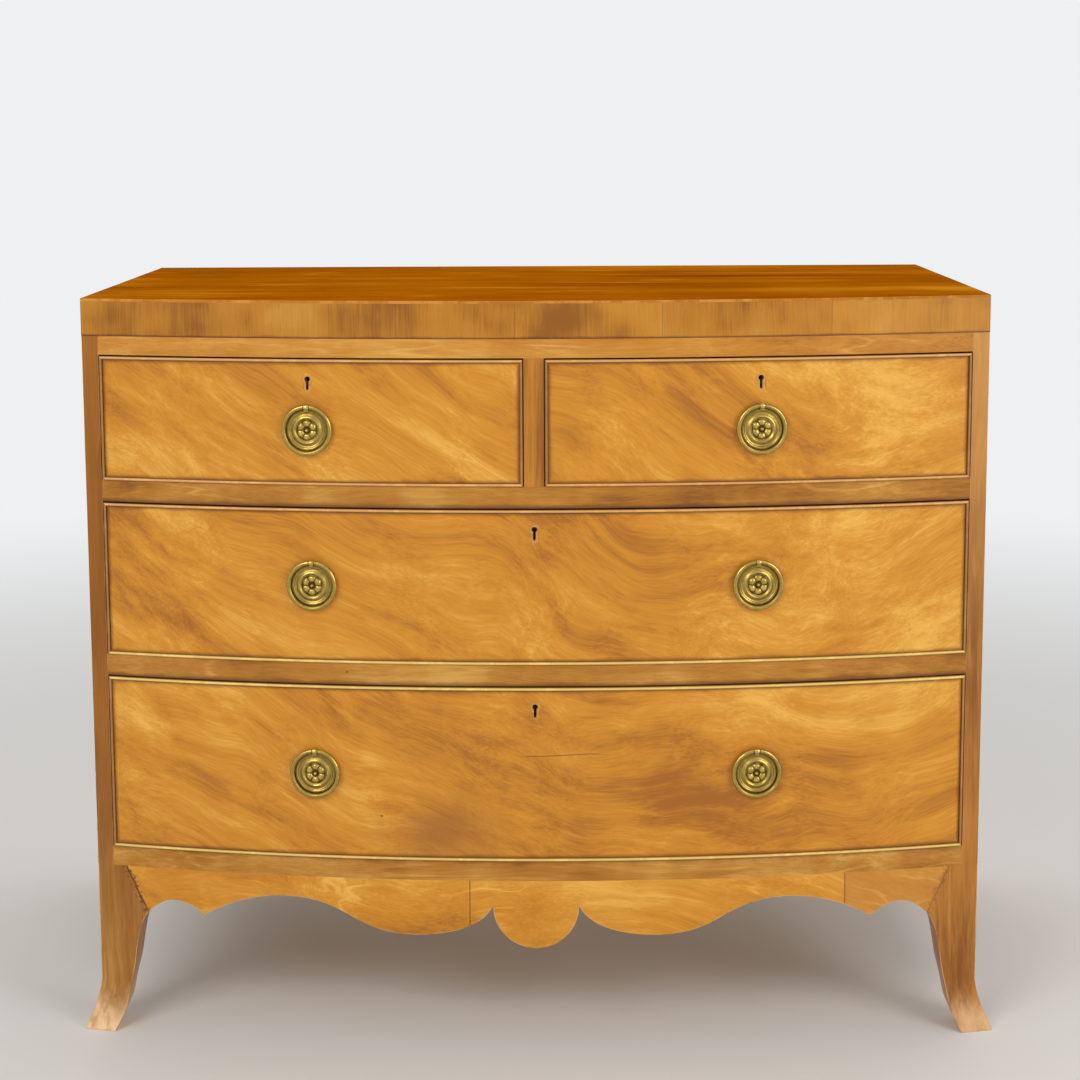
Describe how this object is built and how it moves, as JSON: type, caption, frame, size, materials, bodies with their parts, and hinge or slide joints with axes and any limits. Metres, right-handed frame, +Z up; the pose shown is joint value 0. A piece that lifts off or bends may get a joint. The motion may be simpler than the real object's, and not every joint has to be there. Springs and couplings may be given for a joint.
{
  "type": "bow front chest of drawers",
  "caption": "Bow front wooden chest of drawers: short drawers over long ones, brass ring pulls, a shaped apron and splayed feet.",
  "frame": {"origin": "on the floor, below the middle of the chest, halfway from the crown of the bow to the back", "axes": "+X to the right seen from the front, +Y to the back, +Z up"},
  "size_m": [1.036, 0.5608, 0.838],
  "materials": {
    "top_mahogany": "French polished mahogany, glossy and orange brown",
    "figured_mahogany": "figured mahogany veneer, honey gold, satin wax over polish",
    "crossbanded_mahogany": "crossbanded mahogany, upright grain, satin",
    "rail_mahogany": "straight grained mahogany, satin",
    "side_mahogany": "browner mahogany, satin, worn at the arrises",
    "bead_mahogany": "dark red brown mahogany bead, rubbed light on its crown",
    "lining_wood": "dry unpolished oak and pine, oxidised",
    "brass": "aged lacquered brass, dark in its hollows",
    "lock_steel": "dull old steel"
  },
  "bodies": {
    "carcase": {"top_board": "top_mahogany", "top_frame": "crossbanded_mahogany", "shelf_upper": "rail_mahogany", "shelf_lower": "rail_mahogany", "shelf_bottom": "rail_mahogany", "divider": "rail_mahogany", "side_left": "side_mahogany", "side_right": "side_mahogany", "back_panel": "lining_wood", "apron": "rail_mahogany", "foot_front_left": "side_mahogany", "foot_front_right": "side_mahogany"},
    "drawer_top_left_pull": {"drawer_top_left_pull_ring": "brass"},
    "drawer_top_left": {"drawer_top_left_front": "figured_mahogany", "drawer_top_left_cock_bead": "bead_mahogany", "drawer_top_left_side_left": "lining_wood", "drawer_top_left_side_right": "lining_wood", "drawer_top_left_back": "lining_wood", "drawer_top_left_bottom": "lining_wood", "drawer_top_left_lock_case": "lock_steel", "drawer_top_left_keyhole_lining": "brass", "drawer_top_left_pull_backplate": "brass"},
    "drawer_top_left_bolt": {"drawer_top_left_lock_bolt": "lock_steel"},
    "drawer_top_right_pull": {"drawer_top_right_pull_ring": "brass"},
    "drawer_top_right": {"drawer_top_right_front": "figured_mahogany", "drawer_top_right_cock_bead": "bead_mahogany", "drawer_top_right_side_left": "lining_wood", "drawer_top_right_side_right": "lining_wood", "drawer_top_right_back": "lining_wood", "drawer_top_right_bottom": "lining_wood", "drawer_top_right_lock_case": "lock_steel", "drawer_top_right_keyhole_lining": "brass", "drawer_top_right_pull_backplate": "brass"},
    "drawer_top_right_bolt": {"drawer_top_right_lock_bolt": "lock_steel"},
    "drawer_middle_pull_left": {"drawer_middle_pull_left_ring": "brass"},
    "drawer_middle_pull_right": {"drawer_middle_pull_right_ring": "brass"},
    "drawer_middle": {"drawer_middle_front": "figured_mahogany", "drawer_middle_cock_bead": "bead_mahogany", "drawer_middle_side_left": "lining_wood", "drawer_middle_side_right": "lining_wood", "drawer_middle_back": "lining_wood", "drawer_middle_bottom": "lining_wood", "drawer_middle_lock_case": "lock_steel", "drawer_middle_keyhole_lining": "brass", "drawer_middle_pull_left_backplate": "brass", "drawer_middle_pull_right_backplate": "brass"},
    "drawer_middle_bolt": {"drawer_middle_lock_bolt": "lock_steel"},
    "drawer_bottom_pull_left": {"drawer_bottom_pull_left_ring": "brass"},
    "drawer_bottom_pull_right": {"drawer_bottom_pull_right_ring": "brass"},
    "drawer_bottom": {"drawer_bottom_front": "figured_mahogany", "drawer_bottom_cock_bead": "bead_mahogany", "drawer_bottom_side_left": "lining_wood", "drawer_bottom_side_right": "lining_wood", "drawer_bottom_back": "lining_wood", "drawer_bottom_bottom": "lining_wood", "drawer_bottom_lock_case": "lock_steel", "drawer_bottom_keyhole_lining": "brass", "drawer_bottom_pull_left_backplate": "brass", "drawer_bottom_pull_right_backplate": "brass"},
    "drawer_bottom_bolt": {"drawer_bottom_lock_bolt": "lock_steel"}
  },
  "joints": [
    {"name": "drawer_top_left_slide", "type": "slide", "parent": "carcase", "child": "drawer_top_left", "axis": [0, -1, 0], "range_m": [0, 0.32]},
    {"name": "drawer_top_left_pull_ring_swing", "type": "hinge", "parent": "drawer_top_left", "child": "drawer_top_left_pull", "pos_m": [-0.24654, -0.26832, 0.72239], "axis": [-0.9936, 0.1126, 0], "range_deg": [0, 105]},
    {"name": "drawer_top_left_lock_bolt_throw", "type": "slide", "parent": "drawer_top_left", "child": "drawer_top_left_bolt", "axis": [0, 0, 1], "range_m": [0, 0.008]},
    {"name": "drawer_top_right_slide", "type": "slide", "parent": "carcase", "child": "drawer_top_right", "axis": [0, -1, 0], "range_m": [0, 0.32]},
    {"name": "drawer_top_right_pull_ring_swing", "type": "hinge", "parent": "drawer_top_right", "child": "drawer_top_right_pull", "pos_m": [0.24654, -0.26832, 0.72239], "axis": [-0.9936, -0.1126, 0], "range_deg": [0, 105]},
    {"name": "drawer_top_right_lock_bolt_throw", "type": "slide", "parent": "drawer_top_right", "child": "drawer_top_right_bolt", "axis": [0, 0, 1], "range_m": [0, 0.008]},
    {"name": "drawer_middle_slide", "type": "slide", "parent": "carcase", "child": "drawer_middle", "axis": [0, -1, 0], "range_m": [0, 0.32]},
    {"name": "drawer_middle_pull_left_ring_swing", "type": "hinge", "parent": "drawer_middle", "child": "drawer_middle_pull_left", "pos_m": [-0.24403, -0.2686, 0.55039], "axis": [-0.9938, 0.1115, 0], "range_deg": [0, 105]},
    {"name": "drawer_middle_pull_right_ring_swing", "type": "hinge", "parent": "drawer_middle", "child": "drawer_middle_pull_right", "pos_m": [0.24403, -0.2686, 0.55039], "axis": [-0.9938, -0.1115, 0], "range_deg": [0, 105]},
    {"name": "drawer_middle_lock_bolt_throw", "type": "slide", "parent": "drawer_middle", "child": "drawer_middle_bolt", "axis": [0, 0, 1], "range_m": [0, 0.008]},
    {"name": "drawer_bottom_slide", "type": "slide", "parent": "carcase", "child": "drawer_bottom", "axis": [0, -1, 0], "range_m": [0, 0.32]},
    {"name": "drawer_bottom_pull_left_ring_swing", "type": "hinge", "parent": "drawer_bottom", "child": "drawer_bottom_pull_left", "pos_m": [-0.24403, -0.2686, 0.33789], "axis": [-0.9938, 0.1115, 0], "range_deg": [0, 105]},
    {"name": "drawer_bottom_pull_right_ring_swing", "type": "hinge", "parent": "drawer_bottom", "child": "drawer_bottom_pull_right", "pos_m": [0.24403, -0.2686, 0.33789], "axis": [-0.9938, -0.1115, 0], "range_deg": [0, 105]},
    {"name": "drawer_bottom_lock_bolt_throw", "type": "slide", "parent": "drawer_bottom", "child": "drawer_bottom_bolt", "axis": [0, 0, 1], "range_m": [0, 0.008]}
  ]
}
